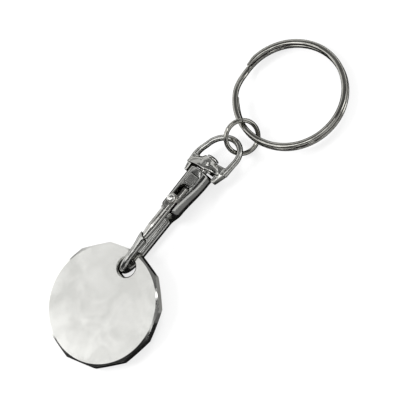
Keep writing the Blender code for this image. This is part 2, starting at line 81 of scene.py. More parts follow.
cameraLook = {
    "elevation": radians(63.5),
    "roll": radians(51.13),
    "distance": 300 * mm,
    "lens": 140.7,
    "aim": Vector((0.321, 0.256, 2)) * mm,
    "aimRight": 1.074 * mm,
    "aimDown": 0.317 * mm,
}


def makeCamera(look):
    back = Vector((0, -cos(look["elevation"]), sin(look["elevation"])))
    level = Vector((1, 0, 0))
    rise = back.cross(level)
    right = level * cos(look["roll"]) - rise * sin(look["roll"])
    up = level * sin(look["roll"]) + rise * cos(look["roll"])
    aim = look["aim"] + right * look["aimRight"] - up * look["aimDown"]
    data = bpy.data.cameras.new("photoCamera")
    data.sensor_width = 36
    data.lens = look["lens"]
    data.clip_start = 0.01
    data.clip_end = 10
    camera = bpy.data.objects.new("photoCamera", data)
    scene.collection.objects.link(camera)
    turn = Matrix((right, up, back)).transposed().to_4x4()
    camera.matrix_world = Matrix.Translation(aim + back * look["distance"]) @ turn
    scene.camera = camera


makeCamera(cameraLook)
print("camera set")


# Modelling helpers

def clearSelection():
    if bpy.context.object and bpy.context.object.mode != "OBJECT":
        bpy.ops.object.mode_set(mode="OBJECT")
    bpy.ops.object.select_all(action="DESELECT")


def pick(*items):
    clearSelection()
    for item in items:
        item.select_set(True)
    bpy.context.view_layer.objects.active = items[0]
    return items[0]


def startPiece(name):
    piece = bpy.context.object
    piece.name = name
    piece.data.name = name
    return piece


def settle(piece, place=None):
    # The piece's own place goes into its mesh, and its object ends at the origin
    if place is not None:
        piece.matrix_world = place @ piece.matrix_world
    pick(piece)
    bpy.ops.object.transform_apply(location=True, rotation=True, scale=True)
    return piece


def editAll(piece):
    pick(piece)
    bpy.ops.object.mode_set(mode="EDIT")
    bpy.ops.mesh.select_mode(type="FACE")
    bpy.ops.mesh.select_all(action="SELECT")


def editFaces(piece, wanted):
    pick(piece)
    bpy.ops.object.mode_set(mode="EDIT")
    bpy.ops.mesh.select_mode(type="FACE")
    bpy.ops.mesh.select_all(action="DESELECT")
    bpy.ops.object.mode_set(mode="OBJECT")
    for face in piece.data.polygons:
        face.select = wanted(face)
    bpy.ops.object.mode_set(mode="EDIT")


def editEdges(piece, wanted):
    pick(piece)
    bpy.ops.object.mode_set(mode="EDIT")
    bpy.ops.mesh.select_mode(type="EDGE")
    bpy.ops.mesh.select_all(action="DESELECT")
    bpy.ops.object.mode_set(mode="OBJECT")
    points = piece.data.vertices
    for edge in piece.data.edges:
        edge.select = wanted(points[edge.vertices[0]].co, points[edge.vertices[1]].co)
    bpy.ops.object.mode_set(mode="EDIT")


def sortMesh(mesh):
    # Extruding and spinning leave the points in no fixed order, and what later steps make depends on it
    order = sorted(range(len(mesh.vertices)), key=lambda k: tuple(mesh.vertices[k].co))
    points = [mesh.vertices[k].co.copy() for k in order]
    rank = {old: new for new, old in enumerate(order)}
    faces = []
    for face in mesh.polygons:
        corners = [rank[k] for k in face.vertices]
        first = corners.index(min(corners))
        faces.append(corners[first:] + corners[:first])
    mesh.clear_geometry()
    mesh.from_pydata(points, [], sorted(faces))
    mesh.update()


def leaveEdit(normals=False):
    if normals:
        bpy.ops.mesh.select_all(action="SELECT")
        bpy.ops.mesh.remove_doubles(threshold=0.0005 * mm)
        bpy.ops.mesh.normals_make_consistent(inside=False)
    bpy.ops.object.mode_set(mode="OBJECT")
    if normals:
        sortMesh(bpy.context.object.data)


def applyModifier(piece, kind, **settings):
    modifier = piece.modifiers.new(kind.title(), kind)
    for key, value in settings.items():
        setattr(modifier, key, value)
    pick(piece)
    bpy.ops.object.modifier_apply(modifier=modifier.name)


def combine(piece, operation, tool):
    applyModifier(piece, "BOOLEAN", operation=operation, object=tool, solver="EXACT")
    bpy.data.objects.remove(tool)


def softenEdges(piece, width, angle, segments=2):
    applyModifier(piece, "BEVEL", width=width, segments=segments, limit_method="ANGLE",
                  angle_limit=radians(angle), use_clamp_overlap=True, miter_outer="MITER_ARC")


def smoothShade(piece, angle):
    pick(piece)
    bpy.ops.object.shade_smooth_by_angle(angle=radians(angle))


def weighNormals(piece):
    applyModifier(piece, "WEIGHTED_NORMAL", weight=50, keep_sharp=True)


def addBlock(name, low, high):
    clearSelection()
    low, high = Vector(low) * mm, Vector(high) * mm
    bpy.ops.mesh.primitive_cube_add(size=1, location=(low + high) / 2)
    block = startPiece(name)
    block.scale = high - low
    return settle(block)


def addRod(name, start, end, radius, endRadius=None, sides=48):
    clearSelection()
    start, end = Vector(start) * mm, Vector(end) * mm
    turn = (end - start).to_track_quat("Z", "Y").to_euler()
    bpy.ops.mesh.primitive_cone_add(vertices=sides, radius1=radius * mm, depth=(end - start).length,
                                    radius2=(radius if endRadius is None else endRadius) * mm,
                                    location=(start + end) / 2, rotation=turn)
    return settle(startPiece(name))


def extrudeAlong(name, stations, sides):
    # stations: place, heading in the XZ plane or about Z, half width and half height of each section
    clearSelection()
    first = stations[0]
    bpy.ops.mesh.primitive_circle_add(vertices=sides, radius=1, fill_type="NGON",
                                      rotation=(radians(90), 0, radians(90)))
    piece = settle(startPiece(name))
    piece.scale = (1, first["wide"] * mm, first["high"] * mm)
    piece.rotation_euler = (0, first.get("pitch", 0), first.get("yaw", 0))
    piece.location = first["at"] * mm
    settle(piece)
    editAll(piece)
    for before, after in zip(stations, stations[1:]):
        centre = after["at"] * mm
        step = (after["at"] - before["at"]) * mm
        bpy.ops.mesh.extrude_region_move(TRANSFORM_OT_translate={"value": step})
        for axis, key in (("Y", "pitch"), ("Z", "yaw")):
            swing = after.get(key, 0) - before.get(key, 0)
            if swing:
                bpy.ops.transform.rotate(value=-swing, orient_axis=axis, orient_type="GLOBAL",
                                         center_override=centre)
        wide, high = after["wide"] / before["wide"], after["high"] / before["high"]
        if abs(wide - high) > 1e-6:
            bpy.ops.transform.resize(value=(1, wide, high), orient_type="GLOBAL",
                                     center_override=centre)
        elif abs(wide - 1) > 1e-6:
            bpy.ops.transform.resize(value=(wide, wide, wide), orient_type="GLOBAL",
                                     center_override=centre)
    leaveEdit(normals=True)
    return piece


def spinProfile(name, profile, steps, centre=(0, 0, 0), axis=(0, 0, 1)):
    # The profile is radius and height, turned about Z by the spin tool
    clearSelection()
    bpy.ops.mesh.primitive_plane_add(size=1)
    piece = startPiece(name)
    editAll(piece)
    bpy.ops.mesh.delete(type="VERT")
    bpy.ops.object.mode_set(mode="OBJECT")
    points = [(radius * mm, 0, height * mm) for radius, height in profile]
    piece.data.from_pydata(points, [(k, k + 1) for k in range(len(points) - 1)], [])
    pick(piece)
    bpy.ops.object.mode_set(mode="EDIT")
    bpy.ops.mesh.select_mode(type="VERT")
    bpy.ops.mesh.select_all(action="SELECT")
    bpy.ops.mesh.spin(steps=steps, angle=2 * pi, center=(0, 0, 0), axis=(0, 0, 1))
    leaveEdit(normals=True)
    turn = Vector(axis).to_track_quat("Z", "Y").to_matrix().to_4x4()
    piece.matrix_world = Matrix.Translation(Vector(centre) * mm) @ turn
    return settle(piece)


def ease(share):
    return share * share * (3 - 2 * share)


# Finishes: every metal has a tone, on some pieces set paler as painted highlight or darker as painted
# shade, soft waves from plating, fine scratches, and dirt with painted shade in its corners

def makeMetal(name, look):
    material = bpy.data.materials.new(name)
    material.use_nodes = True
    nodes, links = material.node_tree.nodes, material.node_tree.links
    shader = nodes["Principled BSDF"]
    shader.inputs["Metallic"].default_value = 1
    shader.inputs["Specular Tint"].default_value = (*look["rimTone"], 1)
    place = nodes.new("ShaderNodeTexCoord")

    def noise(size, detail, stretch=None, distortion=0):
        texture = nodes.new("ShaderNodeTexNoise")
        texture.inputs["Scale"].default_value = 1 / size
        texture.inputs["Detail"].default_value = detail
        texture.inputs["Distortion"].default_value = distortion
        if stretch:
            mapping = nodes.new("ShaderNodeMapping")
            mapping.inputs["Scale"].default_value = stretch
            mapping.inputs["Rotation"].default_value = look.get("grainTurn", (0, 0, 0))
            links.new(place.outputs["Object"], mapping.inputs["Vector"])
            links.new(mapping.outputs["Vector"], texture.inputs["Vector"])
        else:
            links.new(place.outputs["Object"], texture.inputs["Vector"])
        return texture.outputs["Fac"]

    def ramp(source, low, high, spread):
        mapped = nodes.new("ShaderNodeMapRange")
        mapped.inputs["From Min"].default_value = spread[0]
        mapped.inputs["From Max"].default_value = spread[1]
        mapped.inputs["To Min"].default_value = low
        mapped.inputs["To Max"].default_value = high
        links.new(source, mapped.inputs["Value"])
        return mapped.outputs["Result"]

    def blend(kind, factor, first, second):
        mix = nodes.new("ShaderNodeMix")
        mix.data_type = "RGBA"
        mix.blend_type = kind
        for key, value in (("Factor", factor), ("A", first), ("B", second)):
            socket = mix.inputs[key]
            if isinstance(value, bpy.types.NodeSocket):
                links.new(value, socket)
            elif isinstance(value, tuple):
                socket.default_value = (*value, 1)
            else:
                socket.default_value = value
        return mix.outputs["Result"]

    clouds = noise(look["cloudSize"], look["cloudDetail"], distortion=look["cloudWarp"])
    specks = noise(look["speckSize"], look["speckDetail"])
    tone = blend("MIX", ramp(clouds, 0, 1, look["cloudSpread"]), look["darkTone"], look["paleTone"])
    stain = ramp(specks, 0, look["speckDepth"], look["speckSpread"])
    tone = blend("MULTIPLY", stain, tone, look["speckTone"])
    # Ambient occlusion darkens the tone where surfaces meet: dirt, and painted shade
    corner = nodes.new("ShaderNodeAmbientOcclusion")
    corner.samples = 8
    corner.inputs["Distance"].default_value = look["cornerDirtAndShadeReach"]
    dirtAndShade = ramp(corner.outputs["AO"], look["cornerDirtAndShadeDepth"], 0, look["cornerDirtAndShadeSpread"])
    tone = blend("MULTIPLY", dirtAndShade, tone, look["cornerDirtAndShadeTone"])
    links.new(tone, shader.inputs["Base Color"])

    scratches = noise(look["scratchSize"], look["scratchDetail"], look["scratchStretch"])
    roughness = nodes.new("ShaderNodeMath")
    roughness.operation = "ADD"
    links.new(ramp(clouds, *look["roughness"], look["cloudSpread"]), roughness.inputs[0])
    links.new(ramp(scratches, 0, look["scratchRoughness"], look["scratchSpread"]), roughness.inputs[1])
    links.new(roughness.outputs["Value"], shader.inputs["Roughness"])

    waves = nodes.new("ShaderNodeBump")
    waves.inputs["Strength"].default_value = look["waveStrength"]
    waves.inputs["Distance"].default_value = look["waveHeight"]
    swell = noise(look["waveSize"], look["waveDetail"], distortion=look["waveWarp"])
    links.new(swell, waves.inputs["Height"])
    scores = nodes.new("ShaderNodeBump")
    scores.inputs["Strength"].default_value = look["scratchStrength"]
    scores.inputs["Distance"].default_value = look["scratchHeight"]
    links.new(scratches, scores.inputs["Height"])
    links.new(waves.outputs["Normal"], scores.inputs["Normal"])
    links.new(scores.outputs["Normal"], shader.inputs["Normal"])
    return material


def finish(piece, body, node, material):
    piece.data.materials.clear()
    piece.data.materials.append(material)
    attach(piece, body)
    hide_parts(node)
    print(piece.name, "done,", len(piece.data.polygons), "faces")


polishedLook = {
    "paleTone": (0.62, 0.615, 0.59),
    "darkTone": (0.5, 0.495, 0.47),
    "speckTone": (0.5, 0.47, 0.4),
    "rimTone": (0.3, 0.29, 0.27),
    "roughness": (0.04, 0.09),
    "cloudSize": 2.5 * mm,    # broad clouds, which mix the pale and the dark tone
    "cloudDetail": 3,
    "cloudWarp": 0.6,
    "cloudSpread": (0.35, 0.65),
    "speckSize": 0.22 * mm,    # small stains
    "speckDetail": 4,
    "speckDepth": 0.15,
    "speckSpread": (0.55, 0.8),
    "cornerDirtAndShadeTone": (0.12, 0.115, 0.1),    # dirt and painted shade where surfaces meet
    "cornerDirtAndShadeDepth": 0.9,
    "cornerDirtAndShadeReach": 0.35 * mm,
    "cornerDirtAndShadeSpread": (0.1, 0.75),
    "scratchSize": 0.6 * mm,
    "scratchDetail": 5,
    "scratchStretch": (0.25, 4, 4),
    "scratchSpread": (0.5, 0.75),
    "scratchRoughness": 0.03,
    "scratchStrength": 0.01,
    "scratchHeight": 0.01 * mm,
    "waveSize": 1.6 * mm,    # soft swell that the plating leaves
    "waveDetail": 1.5,
    "waveWarp": 0.3,
    "waveStrength": 0.12,
    "waveHeight": 0.03 * mm,
}


# Token: a blank twelve-sided coin with a bevelled rim and one hole

tokenShape = {
    "sides": 12,
    "across": 24.5,
    "thickness": 2.0,
    "faceRadius": 11.5,
    "holeRadius": 1.9,
    "holeOffset": 8.6,
    "holeBevel": 0.25,
    "swing": radians(3),
    "spin": radians(2.5),
    "slope": 0.5,
    "coneSides": 180,
    "holeSides": 64,
    "soften": 0.06,
    "softenAngle": 40,
    "smoothAngle": 24,
}

tokenLook = dict(
    polishedLook,
    paleTone=(0.73, 0.73, 0.705),
    darkTone=(0.66, 0.66, 0.635),
    speckTone=(0.62, 0.6, 0.56),
    speckDepth=0.3,
    roughness=(0.1, 0.2),
    cloudSize=5 * mm,
    waveSize=7 * mm,
    waveStrength=0.13,
    waveHeight=0.05 * mm,
    scratchSize=1.2 * mm,
    scratchStretch=(0.6, 4, 4),
    scratchStrength=0.01,
    scratchRoughness=0.012,
    grainTurn=(0, 0, radians(35)),
)


def makeToken(shape):
    half = shape["thickness"] / 2
    offset, swing = shape["holeOffset"], shape["swing"]
    middle = Vector((-offset * cos(swing), -offset * sin(swing), 0))
    clearSelection()
    bpy.ops.mesh.primitive_cylinder_add(vertices=shape["sides"], radius=shape["across"] / 2 * mm,
                                        depth=(shape["thickness"] + overrun) * mm, location=middle * mm,
                                        rotation=(0, 0, shape["spin"]))
    token = settle(startPiece("tokenBlank"))
    # The bevel is a cone round each face, so it is narrow at the flats and wide at the corners
    rim = shape["faceRadius"] + half / shape["slope"]
    clearSelection()
    bpy.ops.mesh.primitive_cone_add(vertices=shape["coneSides"], radius1=rim * mm,
                                    radius2=shape["faceRadius"] * mm, depth=half * mm,
                                    location=(middle + Vector((0, 0, half / 2))) * mm)
    lens = settle(startPiece("tokenLens"))
    editFaces(lens, lambda face: face.normal.z < -0.9)
    bpy.ops.mesh.delete(type="FACE")
    bpy.ops.object.mode_set(mode="OBJECT")
    applyModifier(lens, "MIRROR", use_axis=(False, False, True), merge_threshold=0.001 * mm)
    combine(token, "INTERSECT", lens)
    radius, bevel, reach = shape["holeRadius"], shape["holeBevel"], overrun / 2
    hole = addRod("tokenHole", (0, 0, -half - overrun), (0, 0, half + overrun), radius,
                  sides=shape["holeSides"])
    for side in (1, -1):
        flare = addRod("holeFlare", (0, 0, side * (half - bevel)), (0, 0, side * (half + reach)),
                       radius, radius + bevel + reach, sides=shape["holeSides"])
        combine(hole, "UNION", flare)
    combine(token, "DIFFERENCE", hole)
    softenEdges(token, shape["soften"] * mm, shape["softenAngle"])
    smoothShade(token, shape["smoothAngle"])
    weighNormals(token)
    place = Matrix.Translation(places["tokenHole"]) @ Matrix.Rotation(places["tokenTilt"], 4, "Y")
    return settle(token, place)


token = makeToken(tokenShape)
finish(token, "token", "coin_token", makeMetal("satinTokenNickel", tokenLook))


# Snap hook body: collar, slotted barrel, spine and nose

clipPlace = Matrix.Translation(places["clip"]) @ Matrix.Rotation(places["clipLean"], 4, "X")

bodyShape = {
    "sides": 56,
    "collarRadius": 2.5,
    "bodyGap": 0.2,
    "collarLength": 1.8,
    "collarRound": (0.5, 0.7),
    "length": 9.2,
    "halfWidth": 2.1,
    "halfHeight": 2.9,
    "rise": 0.55,
    "shoulder": 2.6,
    "spineDrop": 1.75,
    "spineRadius": 0.95,
    "bendRadius": 0.78,
    "bendReach": 24.3,
    "bendHeight": 0.25,
    "bendStart": 21.6,
    "noseBend": 20.2,
    "noseBendHeight": 2.45,
    "noseEnd": 16.4,
    "noseRadius": 0.72,
    "hornRadius": 1.05,
    "noseTip": (-16.3, 1.05),
    "noseSlant": radians(32),
    "noseCut": ((0, -3, -1.9), (2, 3, 1.7)),
    "nestStart": 17.55,
    "nestRadii": (0.82, 1.02),
    "rodHeight": 2.9,
    "slotHalf": 1.05,
    "slotRear": 5.05,
    "slotSides": 64,
    "boreEnd": 1.3,
    "boreRadius": 1.0,
    "guideHeight": 1.0,
    "pinDepth": 0.85,
    "pinRadius": 0.9,
    "coverStart": 1.65,
    "coverLength": 2.1,
    "coverHalf": 1.0,
    "coverSeat": 2.1,
    "coverGap": 0.1,
    "coverLedge": 0.3,
    "recessRound": 0.2,
    "flatHalf": 1.14,
    "flatHeight": 2.32,
    "soften": 0.07,
    "softenAngle": 38,
    "smoothAngle": 40,
}

# The body's tone is the nickel made darker: painted shade
bodyLook = dict(
    polishedLook,
    paleTone=(0.38, 0.38, 0.365),
    darkTone=(0.31, 0.31, 0.3),
    rimTone=(0.4, 0.4, 0.38),
    roughness=(0.13, 0.22),
    cornerDirtAndShadeDepth=0.95,
    waveSize=2.2 * mm,
)


def bodyStations(shape):
    stations = []
    gap, radius = shape["bodyGap"], shape["collarRadius"]
    roundLong, roundDeep = shape["collarRound"]
    for k in range(9):
        turn = pi / 2 * k / 8
        size = radius - roundDeep * (1 - sin(turn))
        stations.append((-gap - roundLong * (1 - cos(turn)), 0, 0, size, size))
    collarEnd = -gap - shape["collarLength"]
    barrel = shape["length"] - shape["collarLength"]
    stations.append((collarEnd, 0, 0, radius, radius))
    for k in range(1, 11):
        soft = ease(k / 10)
        stations.append((collarEnd - barrel * (k / 10), shape["rise"] * soft, 0,
                         radius + (shape["halfWidth"] - radius) * soft,
                         radius + (shape["halfHeight"] - radius) * soft))
    bodyEnd = collarEnd - barrel
    spineTop = shape["spineRadius"] - shape["spineDrop"]
    spineBottom = -shape["spineRadius"] - shape["spineDrop"]
    bodyTop = shape["rise"] + shape["halfHeight"]
    bodyBottom = shape["rise"] - shape["halfHeight"]
    for k in range(1, 11):
        soft = ease(k / 10)
        top = bodyTop + (spineTop - bodyTop) * soft
        bottom = bodyBottom + (spineBottom - bodyBottom) * soft
        stations.append((bodyEnd - shape["shoulder"] * k / 10, (top + bottom) / 2, 0,
                         shape["halfWidth"] + (shape["spineRadius"] - shape["halfWidth"]) * soft,
                         (top - bottom) / 2))
    reach, rise = shape["bendReach"] - shape["bendStart"], shape["bendHeight"] + shape["spineDrop"]
    for k in range(19):
        turn = pi / 2 * k / 18
        size = shape["spineRadius"] + (shape["bendRadius"] - shape["spineRadius"]) * k / 18
        stations.append((-shape["bendStart"] - reach * sin(turn),
                         shape["bendHeight"] - rise * cos(turn), turn, size, size))
    reach, rise = shape["bendReach"] - shape["noseBend"], shape["noseBendHeight"] - shape["bendHeight"]
    for k in range(1, 19):
        turn = pi / 2 * k / 18
        size = shape["bendRadius"] + (shape["noseRadius"] - shape["bendRadius"]) * k / 18
        stations.append((-shape["noseBend"] - reach * cos(turn),
                         shape["bendHeight"] + rise * sin(turn), pi / 2 + turn, size, size))
    reach, rise = shape["noseBend"] - shape["noseEnd"], shape["rodHeight"] - shape["noseBendHeight"]
    for k in range(1, 7):
        soft = ease(k / 6)
        size = shape["noseRadius"] + (shape["hornRadius"] - shape["noseRadius"]) * soft
        stations.append((-shape["noseBend"] + reach * k / 6,
                         shape["noseBendHeight"] + rise * soft, pi, size, size))
    return [{"at": Vector((x, 0, height)), "pitch": turn, "wide": wide, "high": high}
            for x, height, turn, wide, high in stations]


def makeBody(shape):
    body = extrudeAlong("hookBody", bodyStations(shape), shape["sides"])
    top = shape["rise"] + shape["halfHeight"] + overrun
    front = -shape["length"] - shape["bodyGap"] - shape["shoulder"] - overrun
    half, slotRear = shape["slotHalf"], -shape["slotRear"]
    slot = addBlock("slotCutter", (front, -half, 0), (slotRear, half, top))
    slotEnd = addRod("slotEnd", (slotRear, 0, 0), (slotRear, 0, top), half, sides=shape["slotSides"])
    combine(slot, "UNION", slotEnd)
    bore = addRod("boreCutter", (slotRear, 0, shape["guideHeight"]),
                  (-shape["boreEnd"], 0, shape["guideHeight"]), shape["boreRadius"])
    # The cover lies in a recess, on a ledge round the window into the bore
    gap, ledge, half = shape["coverGap"], shape["coverLedge"], shape["coverHalf"]
    start, rear = -shape["coverStart"], -shape["coverStart"] - shape["coverLength"]
    recess = addBlock("recessCutter", (rear - gap, -half - gap, shape["coverSeat"]),
                      (start + gap, half + gap, top))
    softenEdges(recess, shape["recessRound"] * mm, squareAngle, segments=3)
    flat = addBlock("topFlatCutter", (front, -shape["flatHalf"], shape["flatHeight"]),
                    (start + gap, shape["flatHalf"], top))
    window = addBlock("windowCutter", (rear + ledge, ledge - half, shape["guideHeight"]),
                      (start - ledge, half - ledge, top))
    pinHole = addRod("pinHoleCutter", (-shape["bodyGap"] - shape["pinDepth"], 0, 0), (overrun, 0, 0),
                     shape["pinRadius"])
    nest = addRod("nestCutter", (-shape["nestStart"], 0, shape["rodHeight"]),
                  (-shape["noseEnd"] + overrun, 0, shape["rodHeight"]), *shape["nestRadii"])
    endX, endY = shape["noseTip"]
    noseEnd = addBlock("noseEndCutter", *shape["noseCut"])
    noseEnd.rotation_euler = (0, 0, -shape["noseSlant"])
    noseEnd.location = Vector((endX, endY, shape["rodHeight"])) * mm
    settle(noseEnd)
    for cutter in (slot, bore, flat, recess, window, pinHole, nest, noseEnd):
        combine(body, "DIFFERENCE", cutter)
    softenEdges(body, shape["soften"] * mm, shape["softenAngle"])
    smoothShade(body, shape["smoothAngle"])
    weighNormals(body)
    return settle(body, clipPlace)


body = makeBody(bodyShape)
finish(body, "clip", "hook_body", makeMetal("shadedBodyNickel", bodyLook))


# Sliding bolt: the rod, its block and thumb pad, and the guide that holds the spring

boltShape = {
    "sides": 48,
    "rodHeight": 2.9,
    "rodRadius": 0.9,
    "rodEndRadius": 0.62,
    "rodEndShare": 1.1,
    "rodReach": 17.35,
    "taperStart": 14.0,
    "front": 10.3,
    "blockLength": 2.3,
    "blockHalf": 0.85,
    "blockFloor": 0.2,
    "padLength": 3.5,
    "padHalf": 0.95,
    "padBottom": 3.3,
    "padThick": 0.45,
    "padLip": 0.1,
    "padRound": 0.15,
    "guideHeight": 1.0,
    "guideRadius": 0.8,
    "guideEnd": 4.6,
    "guideRound": (0.4, 0.2),
    "boreRadius": 0.6,
    "boreLength": 4.3,
    "knobPlace": 7.9,
    "stemDepth": 0.6,
    "stemRadius": 0.5,
    "soften": 0.06,
    "softenAngle": 38,
    "smoothAngle": 40,
}

# The bolt's tone is the nickel made darker for more contrast: painted shade
boltLook = dict(
    polishedLook,
    paleTone=(0.48, 0.475, 0.455),
    darkTone=(0.38, 0.375, 0.355),
    roughness=(0.08, 0.13),
)


def makeBolt(shape):
    height, radius, tip = shape["rodHeight"], shape["rodRadius"], shape["rodEndRadius"]
    front, padTop = -shape["front"], shape["padBottom"] + shape["padThick"]
    start, taperEnd = shape["taperStart"], shape["rodReach"] - tip
    endShare = shape["rodEndShare"]
    rod = [(front + shape["blockLength"] / 2, radius), (-start, radius)]
    for k in range(1, 7):
        rod.append((-start - (taperEnd - start) * k / 6, radius + (tip * endShare - radius) * ease(k / 6)))
    for k in range(1, 10):
        turn = pi / 2 * k / 9.4    # stops short of a point, so that the end has a small flat
        rod.append((-taperEnd - tip * sin(turn), tip * (endShare - 0.1 * k / 9) * cos(turn)))
    bolt = extrudeAlong("slideBolt", [{"at": Vector((x, 0, height)), "wide": size, "high": size}
                                      for x, size in rod], shape["sides"])
    block = addBlock("boltBlock", (front, -shape["blockHalf"], shape["blockFloor"]),
                     (front + shape["blockLength"], shape["blockHalf"],
                      shape["padBottom"] + shape["padThick"] / 2))
    pad = addBlock("boltPad", (front - shape["padLip"], -shape["padHalf"], shape["padBottom"]),
                   (front + shape["padLength"], shape["padHalf"], padTop))
    softenEdges(pad, shape["padRound"] * mm, squareAngle, segments=4)
    roundLong, roundShare = shape["guideRound"]
    guide = [(front + shape["blockLength"] / 2, 1)]
    for k in range(9):
        turn = pi / 2 * k / 8
        guide.append((-shape["guideEnd"] - roundLong * (1 - sin(turn)), 1 - roundShare * (1 - cos(turn))))
    barrel = extrudeAlong("boltGuide", [{"at": Vector((x, 0, shape["guideHeight"])),
                                         "wide": shape["guideRadius"] * share,
                                         "high": shape["guideRadius"] * share}
                                        for x, share in guide], shape["sides"])
    for extra in (block, pad, barrel):
        combine(bolt, "UNION", extra)
    bore = addRod("springBore", (-shape["guideEnd"] - shape["boreLength"], 0, shape["guideHeight"]),
                  (-shape["guideEnd"] + overrun, 0, shape["guideHeight"]), shape["boreRadius"])
    stem = addRod("stemHole", (-shape["knobPlace"], 0, padTop - shape["stemDepth"]),
                  (-shape["knobPlace"], 0, padTop + overrun), shape["stemRadius"])
    for cutter in (bore, stem):
        combine(bolt, "DIFFERENCE", cutter)
    softenEdges(bolt, shape["soften"] * mm, shape["softenAngle"])
    smoothShade(bolt, shape["smoothAngle"])
    weighNormals(bolt)
    return settle(bolt, clipPlace)


bolt = makeBolt(boltShape)
finish(bolt, "bolt", "slide_bolt", makeMetal("shadedBoltNickel", boltLook))


# Thumb knob, a small turned button

knobShape = {
    "radius": 0.85,
    "height": 1.3,
    "neck": 0.55,
    "stem": 0.4,
    "stemLength": 0.5,
    "domeShare": 0.6,
    "sideShares": (0.42, 0.35),
    "neckFlare": 0.03,
    "soften": 0.05,
    "place": 7.9,
    "base": 3.85,
    "steps": 56,
    "smoothAngle": 40,
}

# The knob's tone is the nickel made paler so its dome shows a bright spot: painted highlight
knobLook = dict(
    polishedLook,
    paleTone=(0.74, 0.735, 0.71),
    darkTone=(0.6, 0.595, 0.57),
    roughness=(0.16, 0.22),
)


def makeKnob(shape):
    radius, height, neck, stem = shape["radius"], shape["height"], shape["neck"], shape["stem"]
    end, soft = -shape["stemLength"], shape["soften"]
    sideTop, sideEnd = shape["sideShares"]
    profile = [(0, height)]
    for k in range(1, 13):
        turn = pi / 2 * k / 12
        profile.append((radius * sin(turn), height - radius * shape["domeShare"] * (1 - cos(turn))))
    profile += [(radius, height * sideTop), (radius - soft, height * sideEnd),
                (neck + shape["neckFlare"], soft), (neck, 0),
                (stem, 0), (stem, end + soft), (stem - soft, end), (0, end)]
    knob = spinProfile("thumbKnob", profile, shape["steps"], (-shape["place"], 0, shape["base"]))
    smoothShade(knob, shape["smoothAngle"])
    return settle(knob, clipPlace)


knob = makeKnob(knobShape)
finish(knob, "bolt", "thumb_knob", makeMetal("litKnobNickel", knobLook))


# Return spring in the bolt's guide, wound by the screw tool

springShape = {
    "radius": 0.4,
    "wire": 0.1,
    "wireSides": 14,
    "turns": 9,
    "stepsPerTurn": 24,
    "front": -8.7,
    "rear": -1.5,
    "height": 1.0,
    "travel": 3.2,
    "smoothAngle": 50,
}

springLook = dict(
    polishedLook,
    paleTone=(0.5, 0.5, 0.5),
    darkTone=(0.38, 0.38, 0.39),
    roughness=(0.2, 0.32),
)


def makeSpring(shape):
    clearSelection()
    length = shape["rear"] - shape["front"]
    steps = shape["stepsPerTurn"] * shape["turns"]
    bpy.ops.mesh.primitive_circle_add(vertices=shape["wireSides"], radius=shape["wire"] * mm,
                                      location=(shape["radius"] * mm, 0, 0), rotation=(radians(90), 0, 0))
    spring = settle(startPiece("boltSpring"))
    applyModifier(spring, "SCREW", angle=2 * pi * shape["turns"], screw_offset=length * mm, axis="Z",
                  steps=steps, render_steps=steps, use_normal_calculate=True)
    pick(spring)
    bpy.ops.object.mode_set(mode="EDIT")
    bpy.ops.mesh.select_mode(type="EDGE")
    bpy.ops.mesh.select_all(action="SELECT")
    bpy.ops.mesh.fill_holes(sides=0)
    leaveEdit(normals=True)
    smoothShade(spring, shape["smoothAngle"])
    spring.matrix_world = (Matrix.Translation(Vector((shape["front"], 0, shape["height"])) * mm)
                           @ Matrix.Rotation(radians(90), 4, "Y"))
    return settle(spring, clipPlace)


spring = makeSpring(springShape)
finish(spring, "clip", "bolt_spring", makeMetal("drawnSpringSteel", springLook))
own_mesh(spring)


# Spring cover, a pressed plate in the recess behind the collar

coverShape = {
    "low": (-3.75, -1.0, 2.2),
    "high": (-1.65, 1.0, 2.5),
    "corner": 0.2,
    "panel": 0.16,
    "groove": 0.05,
    "sink": 0.03,
    "soften": 0.04,
    "softenAngle": 40,
    "smoothAngle": 40,
}

# The cover's tone is darker still: painted shade in its recess
coverLook = dict(
    bodyLook,
    paleTone=(0.3, 0.3, 0.29),
    darkTone=(0.22, 0.22, 0.21),
    roughness=(0.16, 0.26),
)


def makeCover(shape):
    cover = addBlock("springCover", shape["low"], shape["high"])
    # The four upright edges
    editEdges(cover, lambda a, b: abs(a.z - b.z) > 0.1 * mm)
    bpy.ops.mesh.bevel(offset=shape["corner"] * mm, segments=4)
    leaveEdit()
    editFaces(cover, lambda face: face.normal.z > 0.9)
    bpy.ops.mesh.inset(thickness=shape["panel"] * mm)
    bpy.ops.mesh.inset(thickness=shape["groove"] * mm)
    bpy.ops.transform.translate(value=(0, 0, -shape["sink"] * mm))
    leaveEdit(normals=True)
    softenEdges(cover, shape["soften"] * mm, shape["softenAngle"])
    smoothShade(cover, shape["smoothAngle"])
    weighNormals(cover)
    return settle(cover, clipPlace)


cover = makeCover(coverShape)
finish(cover, "clip", "spring_cover", makeMetal("shadedCoverNickel", coverLook))


# Swivel rivet, turned, with a domed head over the eye's boss

rivetShape = {
    "radius": 0.8,
    "start": -0.95,
    "headBase": 2.8,
    "headRadius": 1.3,
    "headHeight": 0.55,
    "rimShare": 0.25,
    "edgeShare": 0.1,
    "underShare": 0.95,
    "endBevel": 0.08,
    "steps": 56,
    "smoothAngle": 40,
}

# The rivet takes the knob's paler tone: painted highlight
rivetLook = dict(knobLook, roughness=(0.09, 0.15))


